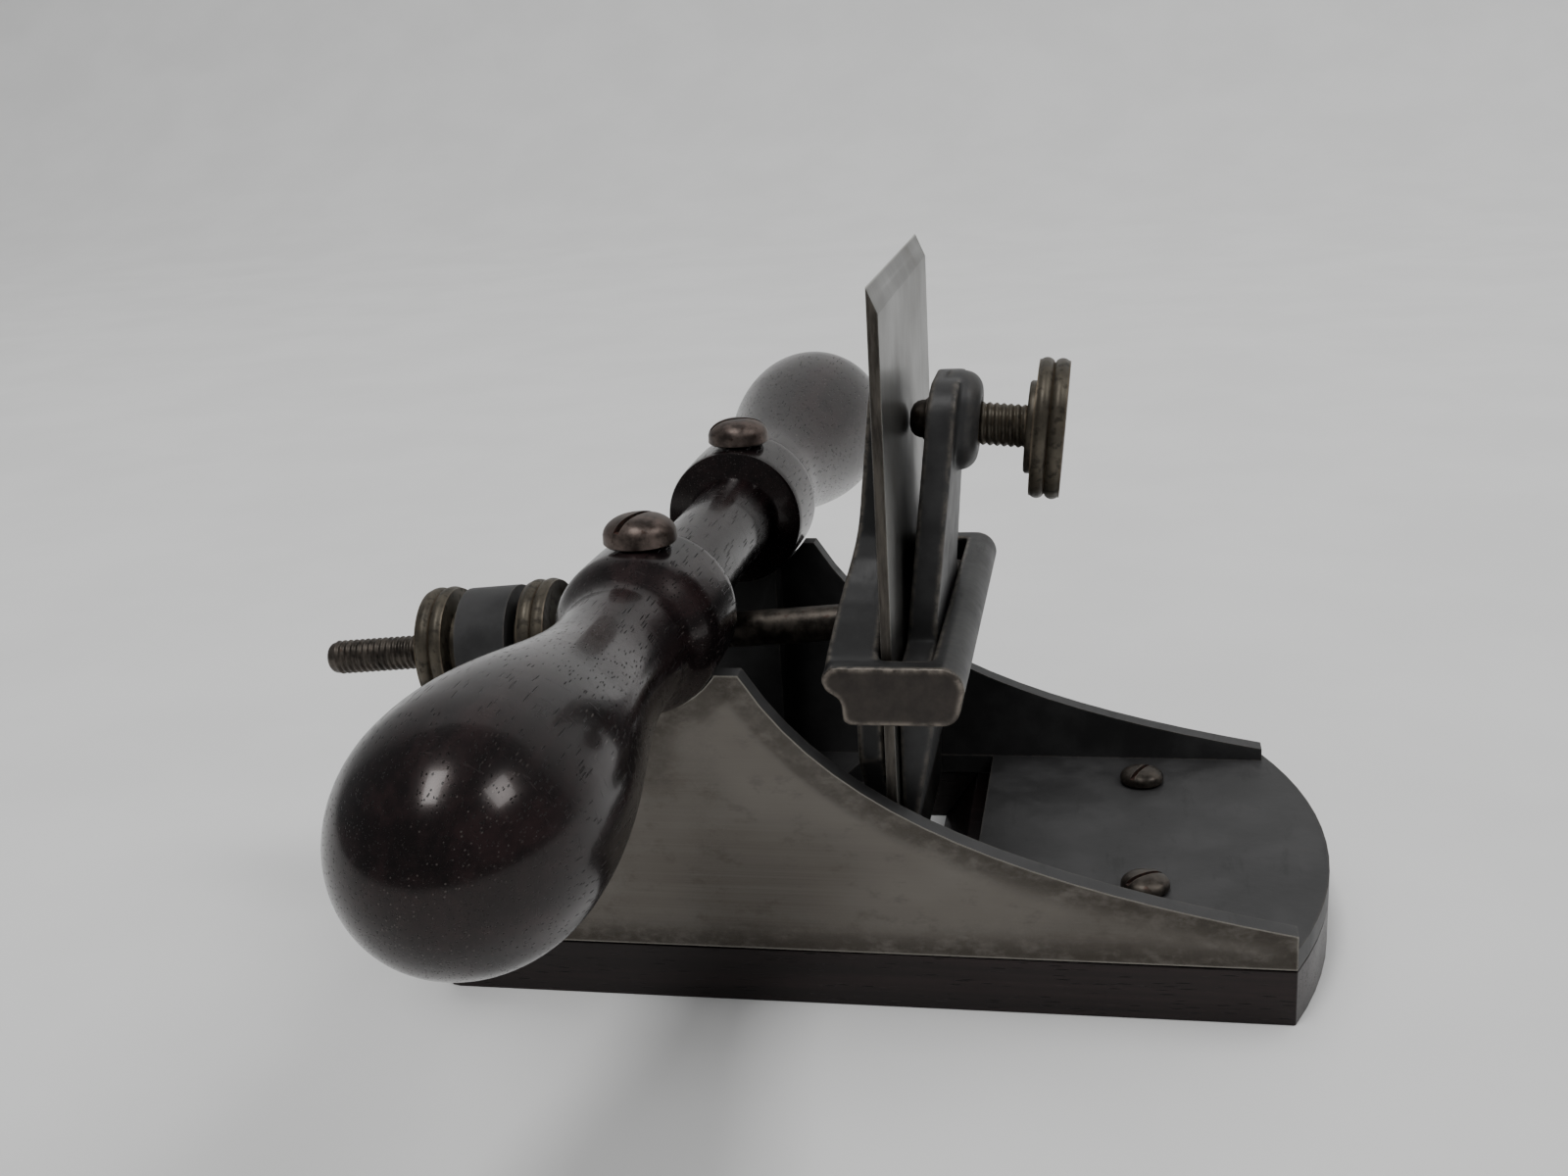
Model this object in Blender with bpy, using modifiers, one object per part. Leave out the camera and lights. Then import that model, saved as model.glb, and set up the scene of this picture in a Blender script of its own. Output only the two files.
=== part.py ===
"""Cabinet scraper plane: a cast body on a wooden sole, a tilting frog with an upright blade, a cross handle.

X runs from heel to toe, Y across the tool, Z up. The origin is under the middle, on the face of the sole.
"""

import math

import bmesh
import bpy
from mathutils import Matrix, Vector

MM = 0.001
GAP = 0.3 * MM

# Body and sole
HALF_WIDTH = 41.3 * MM
HEEL_X = -63.9 * MM
TOE_CORNER_X = 89.1 * MM
TOE_BULGE = 9.0 * MM
SOLE_THICKNESS = 10.3 * MM
IRON_BOTTOM = SOLE_THICKNESS + GAP
FLOOR_TOP = 14.5 * MM
CHEEK_THICKNESS = 3.8 * MM
CHEEK_PEAK_Z = 62.5 * MM
CHEEK_TOE_Z = 17.0 * MM
MOUTH_HALF_LENGTH = 37.0 * MM
THROAT_FRONT_X = 33.0 * MM
THROAT_BACK_X = 13.2 * MM
MOUTH_FRONT_X = 22.4 * MM
MOUTH_BACK_X = 15.6 * MM

# Handle
HANDLE_X = -19.3 * MM
HANDLE_Z = 70.5 * MM
HANDLE_SKEW = math.radians(1.22)
HANDLE_HALF_LENGTH = 140.2 * MM
KNOB_RADIUS = 18.4 * MM
KNOB_CAP_LENGTH = 24.4 * MM
KNOB_FULL_Y = 114.4 * MM
KNOB_START_Y = 60.0 * MM
NECK_RADIUS = 11.0 * MM
BEAD_RADIUS = 14.3 * MM
BEAD_OUTER_Y = 52.2 * MM
BEAD_FULL_Y = 43.0 * MM
SHOULDER_Y = 28.3 * MM
SHOULDER_RADIUS = 12.6 * MM
GRIP_RADIUS = 8.5 * MM
HANDLE_SCREW_Y = 36.8 * MM
HANDLE_SEAT_Z = 84.6 * MM
HANDLE_BORE_RADIUS = 2.5 * MM

# Frog, blade and lever cap
BLADE_BACK_X = 20.0 * MM
BLADE_THICKNESS = 1.9 * MM
BLADE_HALF_WIDTH = 36.2 * MM
BLADE_EDGE_Z = 11.0 * MM
BLADE_TOP_Z = 126.5 * MM
FROG_HALF_WIDTH = 41.0 * MM
BAR_BOTTOM_Z = 53.4 * MM
BAR_TOP_Z = 64.0 * MM
BAR_FRONT_X = 34.5 * MM
SLOT_FRONT_X = 28.6 * MM
SLOT_HALF_LENGTH = 36.7 * MM
PIVOT_X = 14.6 * MM
PIVOT_Z = 20.0 * MM
KNUCKLE_RADIUS = 4.8 * MM
KNUCKLE_HALF_LENGTH = 21.7 * MM
PIVOT_PIN_RADIUS = 2.3 * MM
CAP_TILT = math.radians(5.5)
CAP_THICKNESS = 5.2 * MM
CAP_TOP_Z = 105.3 * MM
CAP_TOP_HALF_WIDTH = 13.0 * MM
CAP_SHOULDER_Z = 61.5 * MM
CAP_SHOULDER_HALF_WIDTH = 21.0 * MM
CAP_FOOT_HALF_WIDTH = 32.5 * MM
CAP_HEEL_Z = 58.0 * MM
CAP_FOOT_Z = 24.0 * MM
SCREW_Z_AT_BLADE = 97.7 * MM
SCREW_RADIUS = 4.0 * MM
BOSS_RADIUS = 9.1 * MM
BOSS_END = 12.8 * MM

# Adjusting rod
ROD_PIN_X = 13.0 * MM
ROD_PIN_Z = 58.3 * MM
ROD_PIN_RADIUS = 1.8 * MM
ROD_EYE_RADIUS = 4.2 * MM
ROD_EYE_CLEARANCE = 4.6 * MM
ROD_EAR_RADIUS = 3.9 * MM
ROD_EAR_HALF_WIDTH = 8.6 * MM
ROD_RADIUS = 3.45 * MM
ROD_LENGTH = 111.8 * MM
ROD_SLOPE = math.radians(4.5)
POST_DISTANCE = 74.6 * MM
POST_EYE_WIDTH = 10.4 * MM
POST_EYE_RADIUS = 12.0 * MM
POST_COLUMN_WIDTH = 4.8 * MM
NUT_RADIUS = 12.7 * MM
NUT_HUB_RADIUS = 8.4 * MM
WHEEL_WIDTH = 5.5 * MM

SOLE_SCREW_X = {"front": 64.3 * MM, "rear": -42.0 * MM}
SOLE_SCREW_Y = {"near": -21.4 * MM, "far": 25.4 * MM}
SOLE_SCREW_HOLE_RADIUS = 2.4 * MM

parts = None
cutters = None


def clear_scene():
    for obj in list(bpy.data.objects):
        bpy.data.objects.remove(obj, do_unlink=True)


def new_collection(name):
    collection = bpy.data.collections.new(name)
    bpy.context.scene.collection.children.link(collection)
    return collection


def make_material(name, color, roughness, metallic):
    material = bpy.data.materials.new(name)
    material.use_nodes = True
    shader = material.node_tree.nodes["Principled BSDF"]
    shader.inputs["Base Color"].default_value = (*color, 1.0)
    shader.inputs["Roughness"].default_value = roughness
    shader.inputs["Metallic"].default_value = metallic
    return material


def link(name, mesh, collection=None):
    obj = bpy.data.objects.new(name, mesh)
    (collection or cutters).objects.link(obj)
    if collection is None:
        obj.hide_render = True
        obj.display_type = "WIRE"
    return obj


def finish(obj, material, smooth_angle=None):
    obj.data.materials.clear()
    obj.data.materials.append(material)
    if smooth_angle is not None:
        obj.data.shade_smooth()
        obj.data.set_sharp_from_angle(angle=math.radians(smooth_angle))
    return obj


def box(name, low, high, collection=None):
    bm = bmesh.new()
    bmesh.ops.create_cube(bm, size=1.0)
    size = [b - a for a, b in zip(low, high)]
    centre = [(a + b) / 2 for a, b in zip(low, high)]
    bmesh.ops.scale(bm, vec=size, verts=bm.verts)
    bmesh.ops.translate(bm, vec=centre, verts=bm.verts)
    mesh = bpy.data.meshes.new(name)
    bm.to_mesh(mesh)
    bm.free()
    return link(name, mesh, collection)


def cylinder(name, radius, start, end, segments=24, collection=None):
    start = Vector(start)
    end = Vector(end)
    bm = bmesh.new()
    bmesh.ops.create_cone(
        bm, cap_ends=True, segments=segments, radius1=radius, radius2=radius, depth=(end - start).length
    )
    mesh = bpy.data.meshes.new(name)
    bm.to_mesh(mesh)
    bm.free()
    obj = link(name, mesh, collection)
    obj.rotation_mode = "QUATERNION"
    obj.rotation_quaternion = (end - start).to_track_quat("Z", "Y")
    obj.location = (start + end) / 2
    return obj


def outline_plate(name, outline, low, high, plane, collection=None):
    """A flat outline extruded from low to high: plane "XY" along Z, "XZ" along Y, "YZ" along X."""
    curve = bpy.data.curves.new(name, "CURVE")
    curve.dimensions = "2D"
    curve.fill_mode = "BOTH"
    curve.extrude = (high - low) / 2
    spline = curve.splines.new("POLY")
    spline.points.add(len(outline) - 1)
    for point, (u, v) in zip(spline.points, outline):
        point.co = (u, v, 0.0, 1.0)
    spline.use_cyclic_u = True
    guide = bpy.data.objects.new(name, curve)
    bpy.context.scene.collection.objects.link(guide)
    middle = (low + high) / 2
    frames = {
        "XY": Matrix.Translation((0, 0, middle)),
        "XZ": Matrix.Translation((0, middle, 0)) @ Matrix.Rotation(math.pi / 2, 4, "X"),
        "YZ": Matrix.Translation((middle, 0, 0))
        @ Matrix(((0, 0, 1, 0), (1, 0, 0, 0), (0, 1, 0, 0), (0, 0, 0, 1))),
    }
    bpy.context.view_layer.update()
    graph = bpy.context.evaluated_depsgraph_get()
    mesh = bpy.data.meshes.new_from_object(guide.evaluated_get(graph))
    bm = bmesh.new()
    bm.from_mesh(mesh)
    bmesh.ops.remove_doubles(bm, verts=bm.verts, dist=0.001 * MM)
    bmesh.ops.transform(bm, matrix=frames[plane], verts=bm.verts)
    bmesh.ops.recalc_face_normals(bm, faces=bm.faces)
    bm.to_mesh(mesh)
    bm.free()
    bpy.data.objects.remove(guide)
    bpy.data.curves.remove(curve)
    mesh.name = name
    return link(name, mesh, collection)


def turned(name, profile, start, direction, segments=32, collection=None, closed=False):
    """A turned piece. The profile lists (radius, distance along the axis), far end first."""
    bm = bmesh.new()
    verts = [bm.verts.new((radius, 0, distance)) for radius, distance in profile]
    for a, b in zip(verts, verts[1:]):
        bm.edges.new((a, b))
    if closed:
        bm.edges.new((verts[-1], verts[0]))
    mesh = bpy.data.meshes.new(name)
    bm.to_mesh(mesh)
    bm.free()
    obj = link(name, mesh, collection)
    screw = obj.modifiers.new("Turn", "SCREW")
    screw.steps = segments
    screw.render_steps = segments
    screw.use_merge_vertices = True
    screw.merge_threshold = 0.001 * MM
    screw.use_smooth_shade = True
    obj.rotation_mode = "QUATERNION"
    obj.rotation_quaternion = Vector(direction).to_track_quat("Z", "Y")
    obj.location = start
    return obj


def combine(obj, other, operation):
    modifier = obj.modifiers.new(other.name, "BOOLEAN")
    modifier.operation = operation
    modifier.solver = "EXACT"
    modifier.object = other
    return obj


def round_edges(obj, width, segments=2, angle=40):
    bevel = obj.modifiers.new("Rounded edges", "BEVEL")
    bevel.width = width
    bevel.segments = segments
    bevel.limit_method = "ANGLE"
    bevel.angle_limit = math.radians(angle)
    return obj


def arc(centre, radius, start, end, steps):
    angles = [math.radians(start + (end - start) * i / steps) for i in range(steps + 1)]
    return [(centre[0] + radius * math.cos(a), centre[1] + radius * math.sin(a)) for a in angles]


def bezier(p0, p1, p2, p3, steps):
    points = []
    for i in range(steps + 1):
        t = i / steps
        weights = ((1 - t) ** 3, 3 * t * (1 - t) ** 2, 3 * t * t * (1 - t), t**3)
        points.append(tuple(sum(w * p[k] for w, p in zip(weights, (p0, p1, p2, p3))) for k in (0, 1)))
    return points


def smooth_step(t):
    t = min(1.0, max(0.0, t))
    return t * t * (3 - 2 * t)


# ---------------------------------------------------------------- body


def sole_outline():
    """The sole seen from above: square heel with eased corners, and a toe that bulges in one arc."""
    corner = 3.0 * MM
    radius = (HALF_WIDTH**2 + TOE_BULGE**2) / (2 * TOE_BULGE)
    centre_x = TOE_CORNER_X + TOE_BULGE - radius
    half_angle = math.degrees(math.asin(HALF_WIDTH / radius))
    inner = HALF_WIDTH - corner
    heel_low = arc((HEEL_X + corner, -inner), corner, 180, 270, 3)
    heel_high = arc((HEEL_X + corner, inner), corner, 90, 180, 3)
    return heel_low + arc((centre_x, 0), radius, -half_angle, half_angle, 14) + heel_high


def cheek_outline():
    """One cheek from the side: low at the toe, up to the peak beside the handle, down again to the heel."""
    heel_z = 19.0 * MM
    front = bezier(
        (TOE_CORNER_X, CHEEK_TOE_Z),
        (46 * MM, 24.6 * MM),
        (12 * MM, 36 * MM),
        (-3.2 * MM, CHEEK_PEAK_Z - 1 * MM),
        16,
    )
    peak_back = (-37 * MM, CHEEK_PEAK_Z - 1 * MM)
    back = bezier(peak_back, (-43 * MM, 40 * MM), (-50 * MM, 24 * MM), (HEEL_X, heel_z), 10)
    peak = [(-3.9 * MM, CHEEK_PEAK_Z), (-36.3 * MM, CHEEK_PEAK_Z)]
    bottom = [(HEEL_X, IRON_BOTTOM), (TOE_CORNER_X, IRON_BOTTOM)]
    return bottom + front + peak + back


def pivot_lug_outline():
    """A lug on the floor behind the mouth that reaches forward to carry the frog's pivot pin."""
    top = arc((PIVOT_X, PIVOT_Z), KNUCKLE_RADIUS, -60, 115, 10)
    base = IRON_BOTTOM + 1 * MM
    front = THROAT_BACK_X - 0.6 * MM
    return [(-2 * MM, base), (front, base), (front, FLOOR_TOP + 0.6 * MM)] + top


def rod_point(distance):
    """A point on the adjusting rod's axis, measured from its pin on the frog."""
    return (ROD_PIN_X - distance * math.cos(ROD_SLOPE), 0.0, ROD_PIN_Z - distance * math.sin(ROD_SLOPE))


ROD_DIRECTION = (-math.cos(ROD_SLOPE), 0.0, -math.sin(ROD_SLOPE))


def handle_point(y):
    """A point on the handle's axis, which lies slightly out of square with the body."""
    return Vector((HANDLE_X + y * math.sin(HANDLE_SKEW), y * math.cos(HANDLE_SKEW), HANDLE_Z))


def sole_screw_places():
    """The name and place of each screw that holds the sole."""
    for place, x in SOLE_SCREW_X.items():
        for side, y in SOLE_SCREW_Y.items():
            yield f"sole_screw_{place}_{side}", (x, y, 0.0)


def upright(place, low, high):
    """The two ends of a vertical line through a place."""
    return [(place[0], place[1], z) for z in (low, high)]


def build_body(iron):
    body = outline_plate("body_casting", sole_outline(), IRON_BOTTOM, FLOOR_TOP, "XY", parts)
    for side, name in ((-1, "near"), (1, "far")):
        faces = sorted((side * HALF_WIDTH, side * (HALF_WIDTH - CHEEK_THICKNESS)))
        combine(body, outline_plate(f"cheek_{name}", cheek_outline(), *faces, "XZ"), "UNION")
        pad = sorted((side * (HALF_WIDTH - 1.4 * MM), side * 31.5 * MM))
        low = (HANDLE_X - 8 * MM, pad[0], IRON_BOTTOM + 2 * MM)
        high = (HANDLE_X + 8 * MM, pad[1], CHEEK_PEAK_Z - 1.2 * MM)
        combine(body, box(f"handle_pad_{name}", low, high), "UNION")
        lug = sorted((side * (KNUCKLE_HALF_LENGTH + GAP), side * (KNUCKLE_HALF_LENGTH + 5 * MM)))
        combine(body, outline_plate(f"pivot_lug_{name}", pivot_lug_outline(), *lug, "XZ"), "UNION")
    build_post(body)

    low = (THROAT_BACK_X, -MOUTH_HALF_LENGTH, 0)
    high = (THROAT_FRONT_X, MOUTH_HALF_LENGTH, FLOOR_TOP + 1 * MM)
    combine(body, box("throat_cut", low, high), "DIFFERENCE")
    for side, name in ((-1, "near"), (1, "far")):
        ends = [handle_point(side * y * MM) for y in (26, 50)]
        combine(body, cylinder(f"cradle_cut_{name}", BEAD_RADIUS + GAP, *ends, 40), "DIFFERENCE")
        ends = upright(handle_point(side * HANDLE_SCREW_Y), 42 * MM, 90 * MM)
        combine(body, cylinder(f"handle_screw_hole_{name}", HANDLE_BORE_RADIUS, *ends, 16), "DIFFERENCE")
    for name, place in sole_screw_places():
        hole = cylinder(f"{name}_hole", SOLE_SCREW_HOLE_RADIUS, *upright(place, 0, 20 * MM), 16)
        combine(body, hole, "DIFFERENCE")
    ends = [(PIVOT_X, y * MM, PIVOT_Z) for y in (-30, 30)]
    combine(body, cylinder("pivot_hole", PIVOT_PIN_RADIUS + GAP, *ends, 20), "DIFFERENCE")
    ends = [rod_point(POST_DISTANCE + d * MM) for d in (-12, 12)]
    combine(body, cylinder("rod_hole", 4.6 * MM, *ends, 24), "DIFFERENCE")
    finish(body, iron, 35)


def build_post(body):
    """The upright at the heel with the eye that the adjusting rod runs through."""
    centre = Vector(rod_point(POST_DISTANCE))
    half = POST_EYE_WIDTH / 2
    waist = 6.0 * MM
    foot = 14.0 * MM
    base = IRON_BOTTOM + 2 * MM
    outline = [(-foot, base), (foot, base), (foot, 16 * MM), (waist, 26 * MM)]
    outline += [(waist, centre.z), (-waist, centre.z)]
    outline += [(-waist, 26 * MM), (-foot, 16 * MM)]
    faces = [centre.x + side * POST_COLUMN_WIDTH / 2 for side in (-1, 1)]
    column = outline_plate("post_column", outline, *faces, "YZ")
    combine(body, column, "UNION")
    ends = [rod_point(POST_DISTANCE + d) for d in (-half, half)]
    combine(body, cylinder("post_eye", POST_EYE_RADIUS, *ends, 40), "UNION")


def build_sole(wood):
    sole = outline_plate("wood_sole", sole_outline(), 0.0, SOLE_THICKNESS, "XY", parts)
    top = SOLE_THICKNESS + 1 * MM
    throat = [
        (MOUTH_BACK_X, -1 * MM),
        (MOUTH_FRONT_X, -1 * MM),
        (MOUTH_FRONT_X, 0.0),
        (30.4 * MM, top),
        (THROAT_BACK_X, top),
        (THROAT_BACK_X, 6.5 * MM),
        (MOUTH_BACK_X, 0.6 * MM),
    ]
    cut = outline_plate("mouth_cut", throat, -MOUTH_HALF_LENGTH, MOUTH_HALF_LENGTH, "XZ")
    combine(sole, cut, "DIFFERENCE")
    for name, place in sole_screw_places():
        pilot = cylinder(f"{name}_pilot", SOLE_SCREW_HOLE_RADIUS, *upright(place, 3 * MM, 20 * MM), 16)
        combine(sole, pilot, "DIFFERENCE")
    finish(sole, wood, 35)


def slotted_screw(
    name, material, base, head_radius, head_height, shank_radius, shank_length, slot_angle, slot_width
):
    """A round-head wood screw standing upright, its slot turned by slot_angle about Z."""
    base = Vector(base)
    rim = 0.8 * MM
    dome = [
        (head_radius * math.cos(a), rim + (head_height - rim) * math.sin(a))
        for a in [math.pi / 2 * (1 - i / 6) for i in range(7)]
    ]
    dome[0] = (0.0, head_height)
    profile = dome + [(head_radius, 0.0), (shank_radius, 0.0), (shank_radius, -shank_length + 2 * MM)]
    profile += [(0.0, -shank_length)]
    screw = turned(name, profile, base, (0, 0, 1), 24, parts)
    size = Vector((3 * head_radius, slot_width, head_height))
    cut = box(f"{name}_slot", -size / 2, size / 2)
    cut.rotation_euler = (0, 0, slot_angle)
    cut.location = base + Vector((0, 0, head_height * 1.05))
    combine(screw, cut, "DIFFERENCE")
    return finish(screw, material)


def build_sole_screws(steel):
    for (name, (x, y, _)), angle in zip(sole_screw_places(), (35, 60, 10, 125)):
        base = (x, y, FLOOR_TOP + GAP)
        slotted_screw(name, steel, base, 4.4 * MM, 2.8 * MM, 2.1 * MM, 11 * MM, math.radians(angle), 0.9 * MM)


# ---------------------------------------------------------------- handle


def handle_radius(y):
    """Radius of the turned handle at a distance y from its middle."""
    cap_start = HANDLE_HALF_LENGTH - KNOB_CAP_LENGTH
    if y >= cap_start:
        return KNOB_RADIUS * math.sqrt(max(0.0, 1 - ((y - cap_start) / KNOB_CAP_LENGTH) ** 2))
    if y >= BEAD_OUTER_Y:
        knob = smooth_step((y - KNOB_START_Y) / (KNOB_FULL_Y - KNOB_START_Y))
        return NECK_RADIUS + (KNOB_RADIUS - NECK_RADIUS) * knob
    if y >= BEAD_FULL_Y:
        bead = smooth_step((BEAD_OUTER_Y - y) / (BEAD_OUTER_Y - BEAD_FULL_Y))
        return NECK_RADIUS + (BEAD_RADIUS - NECK_RADIUS) * bead
    inward = (BEAD_FULL_Y - y) / (BEAD_FULL_Y - SHOULDER_Y)
    return BEAD_RADIUS - 0.3 * MM * inward**2


def build_handle(wood):
    cap_start = HANDLE_HALF_LENGTH - KNOB_CAP_LENGTH
    stations = [cap_start + KNOB_CAP_LENGTH * math.cos(math.radians(a)) for a in range(0, 90, 10)]
    stations += [cap_start + (KNOB_START_Y - cap_start) * i / 13 for i in range(14)]
    stations += [BEAD_OUTER_Y + (BEAD_FULL_Y - BEAD_OUTER_Y) * i / 5 for i in range(6)]
    stations += [38 * MM, 33 * MM, SHOULDER_Y + 0.8 * MM]
    half = [(handle_radius(y), y) for y in stations]
    half[0] = (0.0, HANDLE_HALF_LENGTH)
    half += [(SHOULDER_RADIUS, SHOULDER_Y), (GRIP_RADIUS + 1.0 * MM, SHOULDER_Y)]
    half += [(GRIP_RADIUS, SHOULDER_Y - 1.5 * MM), (GRIP_RADIUS, 0.0)]
    profile = half + [(radius, -y) for radius, y in reversed(half[:-1])]
    along = handle_point(1.0) - handle_point(0.0)
    handle = turned("handle", profile, handle_point(0.0), along, 40, parts)
    for side, name in ((-1, "near"), (1, "far")):
        screw = handle_point(side * HANDLE_SCREW_Y)
        bore = cylinder(f"handle_bore_{name}", HANDLE_BORE_RADIUS, *upright(screw, 50 * MM, 95 * MM), 16)
        combine(handle, bore, "DIFFERENCE")
        seat = cylinder(f"handle_seat_{name}", 6.7 * MM, *upright(screw, HANDLE_SEAT_Z, 95 * MM), 28)
        combine(handle, seat, "DIFFERENCE")
    finish(handle, wood)


def build_handle_screws(steel):
    for side, name, angle in ((-1, "near", 63), (1, "far", 20)):
        base = handle_point(side * HANDLE_SCREW_Y)
        base.z = HANDLE_SEAT_Z + GAP
        turn = math.radians(angle)
        slotted_screw(
            f"handle_screw_{name}", steel, base, 6.3 * MM, 5.0 * MM, 2.2 * MM, 42 * MM, turn, 1.2 * MM
        )


# ---------------------------------------------------------------- frog and blade


def frog_side_outline():
    """The frog's upright plate from the side: flat front face, back that thickens down to the bar."""
    front = BLADE_BACK_X - GAP
    back = bezier((10.6 * MM, 62 * MM), (11.4 * MM, 75 * MM), (14 * MM, 75 * MM), (14.4 * MM, 86 * MM), 8)
    foot = [(14.2 * MM, 59 * MM), (14.2 * MM, 56 * MM)]
    return [(front, 56 * MM), (front, 110 * MM), (16.6 * MM, 110 * MM)] + back[::-1] + foot


def frog_front_outline():
    """The same plate from the front: a round-topped tongue that spreads to the full length of the bar."""
    half = [(39 * MM, 56 * MM), (39 * MM, 63 * MM)]
    half += bezier((38 * MM, 64.5 * MM), (28 * MM, 70 * MM), (16 * MM, 74 * MM), (13.5 * MM, 90 * MM), 8)
    half += arc((0.0, 97.5 * MM), 12.5 * MM, 8, 90, 8)
    return half + [(-y, z) for y, z in reversed(half[:-1])]


def bar_outline():
    """The bar's cross-section: flat top, rounded front, and a lip along the upper back edge."""
    low = BAR_BOTTOM_Z
    high = BAR_TOP_Z
    front = arc((BAR_FRONT_X - 4.2 * MM, high - 4.2 * MM), 4.2 * MM, 80, 0, 5)
    bottom_front = arc((BAR_FRONT_X - 4.0 * MM, low + 3.2 * MM), 3.2 * MM, -20, -90, 4)
    back = [
        (14.8 * MM, low),
        (13.7 * MM, low + 0.8 * MM),
        (13.4 * MM, low + 4.6 * MM),
        (11.0 * MM, low + 6.2 * MM),
        (10.2 * MM, low + 8.0 * MM),
        (10.4 * MM, high - 1.6 * MM),
        (12.0 * MM, high),
    ]
    return front + bottom_front + back


def leg_side_outline():
    front = BLADE_BACK_X - GAP
    knuckle = arc((PIVOT_X, PIVOT_Z), KNUCKLE_RADIUS, 160, 370, 14)
    return knuckle + [(front, 27 * MM), (front, 56 * MM), (14.9 * MM, 56 * MM), (14.9 * MM, 30 * MM)]


def leg_front_outline():
    half = [(KNUCKLE_HALF_LENGTH, 12 * MM), (KNUCKLE_HALF_LENGTH, 27 * MM)]
    half += [(34 * MM, 44 * MM), (34 * MM, 58 * MM)]
    return half + [(-y, z) for y, z in reversed(half)]


def rod_ear_outline():
    ear = arc((ROD_PIN_X, ROD_PIN_Z), ROD_EAR_RADIUS, 100, 260, 10)
    return ear + [(16 * MM, BAR_BOTTOM_Z + 0.6 * MM), (16 * MM, BAR_TOP_Z - 0.6 * MM)]


def rod_eye_slot_outline():
    """The slot between the ears, rounded at its blind end to clear the rod's eye."""
    end = arc((ROD_PIN_X, ROD_PIN_Z), ROD_EYE_CLEARANCE, -90, 90, 12)
    mouth_x = ROD_PIN_X - 8 * MM
    return end + [(mouth_x, ROD_PIN_Z + side * ROD_EYE_CLEARANCE) for side in (1, -1)]


def build_frog(japan):
    frog = outline_plate("frog", bar_outline(), -FROG_HALF_WIDTH, FROG_HALF_WIDTH, "XZ", parts)
    round_edges(frog, 0.6 * MM, 2, 50)
    plate = outline_plate("frog_plate", frog_side_outline(), -40 * MM, 40 * MM, "XZ")
    face = outline_plate("frog_plate_front", frog_front_outline(), 5 * MM, 25 * MM, "YZ")
    combine(plate, face, "INTERSECT")
    leg = outline_plate("frog_leg", leg_side_outline(), -36 * MM, 36 * MM, "XZ")
    combine(leg, outline_plate("frog_leg_front", leg_front_outline(), 5 * MM, 25 * MM, "YZ"), "INTERSECT")
    combine(frog, plate, "UNION")
    combine(frog, leg, "UNION")
    ears = outline_plate("rod_ears", rod_ear_outline(), -ROD_EAR_HALF_WIDTH, ROD_EAR_HALF_WIDTH, "XZ")
    combine(frog, ears, "UNION")
    eye_slot = outline_plate("rod_eye_slot", rod_eye_slot_outline(), -4.6 * MM, 4.6 * MM, "XZ")
    combine(frog, eye_slot, "DIFFERENCE")
    low = (BLADE_BACK_X - GAP, -SLOT_HALF_LENGTH, BAR_BOTTOM_Z - 2 * MM)
    high = (SLOT_FRONT_X, SLOT_HALF_LENGTH, BAR_TOP_Z + 8 * MM)
    combine(frog, box("blade_slot", low, high), "DIFFERENCE")
    ends = [(PIVOT_X, y * MM, PIVOT_Z) for y in (-40, 40)]
    combine(frog, cylinder("frog_pivot_hole", PIVOT_PIN_RADIUS + GAP, *ends, 20), "DIFFERENCE")
    ends = [(ROD_PIN_X, y * MM, ROD_PIN_Z) for y in (-12, 12)]
    combine(frog, cylinder("rod_pin_hole", ROD_PIN_RADIUS + GAP, *ends, 16), "DIFFERENCE")
    finish(frog, japan, 40)


def build_pins(steel):
    reach = KNUCKLE_HALF_LENGTH + 5.0 * MM
    ends = [(PIVOT_X, y, PIVOT_Z) for y in (-reach, reach)]
    finish(cylinder("frog_pivot_pin", PIVOT_PIN_RADIUS, *ends, 20, parts), steel, 35)
    ends = [(ROD_PIN_X, y, ROD_PIN_Z) for y in (-ROD_EAR_HALF_WIDTH, ROD_EAR_HALF_WIDTH)]
    finish(cylinder("rod_pin", ROD_PIN_RADIUS, *ends, 16, parts), steel, 35)


def build_blade(steel):
    """The blade is honed at both ends: the lower edge faces the toe and the upper edge the heel."""
    back = BLADE_BACK_X
    front = BLADE_BACK_X + BLADE_THICKNESS
    outline = [
        (back, BLADE_EDGE_Z + 2.0 * MM),
        (front, BLADE_EDGE_Z),
        (front, BLADE_TOP_Z - 4.4 * MM),
        (back, BLADE_TOP_Z),
    ]
    blade = outline_plate("blade", outline, -BLADE_HALF_WIDTH, BLADE_HALF_WIDTH, "XZ", parts)
    finish(blade, steel)


# ---------------------------------------------------------------- lever cap and thumbscrew


def cap_back_x(z):
    return BLADE_BACK_X + BLADE_THICKNESS + GAP + math.tan(CAP_TILT) * (z - CAP_HEEL_Z)


def cap_side_outline():
    """The lever cap from the side: a leaning arm above the bar and a foot that thins to a wedge below it."""
    blade_side = BLADE_BACK_X + BLADE_THICKNESS + GAP
    foot_front = SLOT_FRONT_X - 0.5 * MM
    return [
        (blade_side, CAP_FOOT_Z),
        (blade_side + 0.9 * MM, CAP_FOOT_Z),
        (foot_front, 49 * MM),
        (foot_front, 65 * MM),
        (cap_back_x(CAP_TOP_Z) + CAP_THICKNESS, CAP_TOP_Z),
        (cap_back_x(CAP_TOP_Z), CAP_TOP_Z),
        (blade_side, CAP_HEEL_Z),
    ]


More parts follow.
